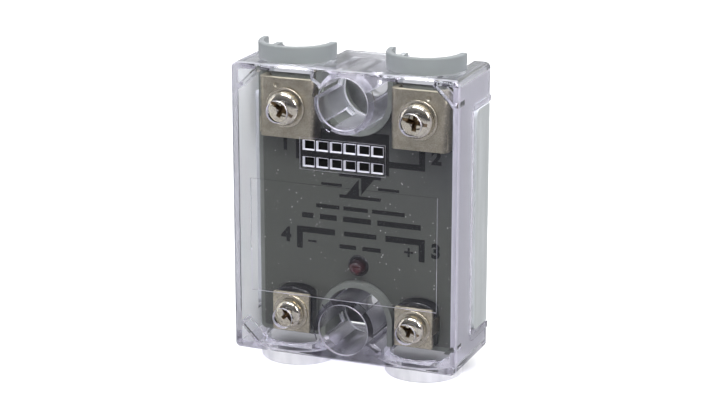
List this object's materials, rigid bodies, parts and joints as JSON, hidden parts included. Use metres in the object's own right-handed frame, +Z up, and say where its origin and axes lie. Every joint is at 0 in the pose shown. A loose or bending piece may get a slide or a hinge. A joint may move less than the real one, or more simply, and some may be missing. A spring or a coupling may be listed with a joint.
{
  "type": "solid state relay",
  "caption": "Panel-mount solid state relay: grey potted module on a metal base, four screw terminals, status lamp, and a clear push-on cover with cable hoods and screwdriver tubes.",
  "frame": {"origin": "centre of the base plate's back face, midway between the two mounting holes", "axes": "+Z up along the length, from input terminals to output terminals; +Y back into the panel; +X to the right seen from the front"},
  "size_m": [0.0494, 0.0225, 0.0678],
  "materials": {
    "sink_plate": "brushed, bare",
    "housing_plastic": "fine moulded texture, mid grey",
    "label_film": "dark printed film, slight sheen",
    "clear_plastic": "clear polycarbonate, polished, violet at the edges",
    "terminal_plate": "nickel-plated brass, satin",
    "screw_metal": "bright nickel plate",
    "washer_metal": "bright nickel plate",
    "nut_metal": "zinc plate",
    "black_insulator": "glossy black moulding",
    "led_red": "tinted epoxy, unlit",
    "lead_wire": "tinned wire",
    "circuit_board": "green solder mask",
    "ceramic": "white alumina",
    "copper": "bare copper",
    "silicon": "passivated silicon",
    "component_black": "moulded epoxy",
    "resistor_body": "lacquered ceramic",
    "capacitor_body": "yellow film box",
    "resin": "cast potting resin"
  },
  "bodies": {
    "relay": {"base_plate": "sink_plate", "housing": "housing_plastic", "face_label": "label_film", "output_terminal_1": "terminal_plate", "output_terminal_2": "terminal_plate", "input_terminal_3": "terminal_plate", "input_terminal_4": "terminal_plate", "terminal_nut_1": "nut_metal", "terminal_nut_2": "nut_metal", "terminal_nut_3": "nut_metal", "terminal_nut_4": "nut_metal", "input_insulator_3": "black_insulator", "input_insulator_4": "black_insulator", "status_led": "led_red", "led_leads": "lead_wire", "gate_pins": "lead_wire", "circuit_board": "circuit_board", "ceramic_substrate": "ceramic", "copper_pad_1": "copper", "copper_pad_2": "copper", "thyristor_strap_1": "copper", "thyristor_strap_2": "copper", "thyristor_chip_1": "silicon", "thyristor_chip_2": "silicon", "optocoupler": "component_black", "driver_transistor": "component_black", "reverse_diode": "component_black", "input_resistor": "resistor_body", "gate_resistor": "resistor_body", "snubber_resistor": "resistor_body", "snubber_capacitor": "capacitor_body", "potting_compound": "resin"},
    "cover": {"clear_cover": "clear_plastic"},
    "clamp_1": {"flat_washer_1": "washer_metal", "lock_washer_1": "washer_metal"},
    "screw_1": {"terminal_screw_1": "screw_metal"},
    "clamp_2": {"flat_washer_2": "washer_metal", "lock_washer_2": "washer_metal"},
    "screw_2": {"terminal_screw_2": "screw_metal"},
    "clamp_3": {"flat_washer_3": "washer_metal", "lock_washer_3": "washer_metal"},
    "screw_3": {"terminal_screw_3": "screw_metal"},
    "clamp_4": {"flat_washer_4": "washer_metal", "lock_washer_4": "washer_metal"},
    "screw_4": {"terminal_screw_4": "screw_metal"}
  },
  "joints": [
    {"name": "cover_slide", "type": "slide", "parent": "relay", "child": "cover", "axis": [0, -1, 0], "range_m": [0, 0.03]},
    {"name": "clamp_1_lift", "type": "slide", "parent": "relay", "child": "clamp_1", "axis": [0, -1, 0], "range_m": [0, 0.00105]},
    {"name": "screw_1_turn", "type": "hinge", "parent": "clamp_1", "child": "screw_1", "pos_m": [-0.0144, -0.0198, 0.0209], "axis": [0, -1, 0], "range_deg": [0, 540]},
    {"name": "clamp_2_lift", "type": "slide", "parent": "relay", "child": "clamp_2", "axis": [0, -1, 0], "range_m": [0, 0.00105]},
    {"name": "screw_2_turn", "type": "hinge", "parent": "clamp_2", "child": "screw_2", "pos_m": [0.0144, -0.0198, 0.0209], "axis": [0, -1, 0], "range_deg": [0, 540]},
    {"name": "clamp_3_lift", "type": "slide", "parent": "relay", "child": "clamp_3", "axis": [0, -1, 0], "range_m": [0, 0.001]},
    {"name": "screw_3_turn", "type": "hinge", "parent": "clamp_3", "child": "screw_3", "pos_m": [0.0136, -0.0198, -0.02295], "axis": [0, -1, 0], "range_deg": [0, 720]},
    {"name": "clamp_4_lift", "type": "slide", "parent": "relay", "child": "clamp_4", "axis": [0, -1, 0], "range_m": [0, 0.001]},
    {"name": "screw_4_turn", "type": "hinge", "parent": "clamp_4", "child": "screw_4", "pos_m": [-0.0136, -0.0198, -0.02295], "axis": [0, -1, 0], "range_deg": [0, 720]}
  ],
  "couplings": [
    {"joint": "screw_1_turn", "follows": "clamp_1_lift", "rad_per_m": 8976},
    {"joint": "screw_2_turn", "follows": "clamp_2_lift", "rad_per_m": 8976},
    {"joint": "screw_3_turn", "follows": "clamp_3_lift", "rad_per_m": 12566},
    {"joint": "screw_4_turn", "follows": "clamp_4_lift", "rad_per_m": 12566}
  ]
}
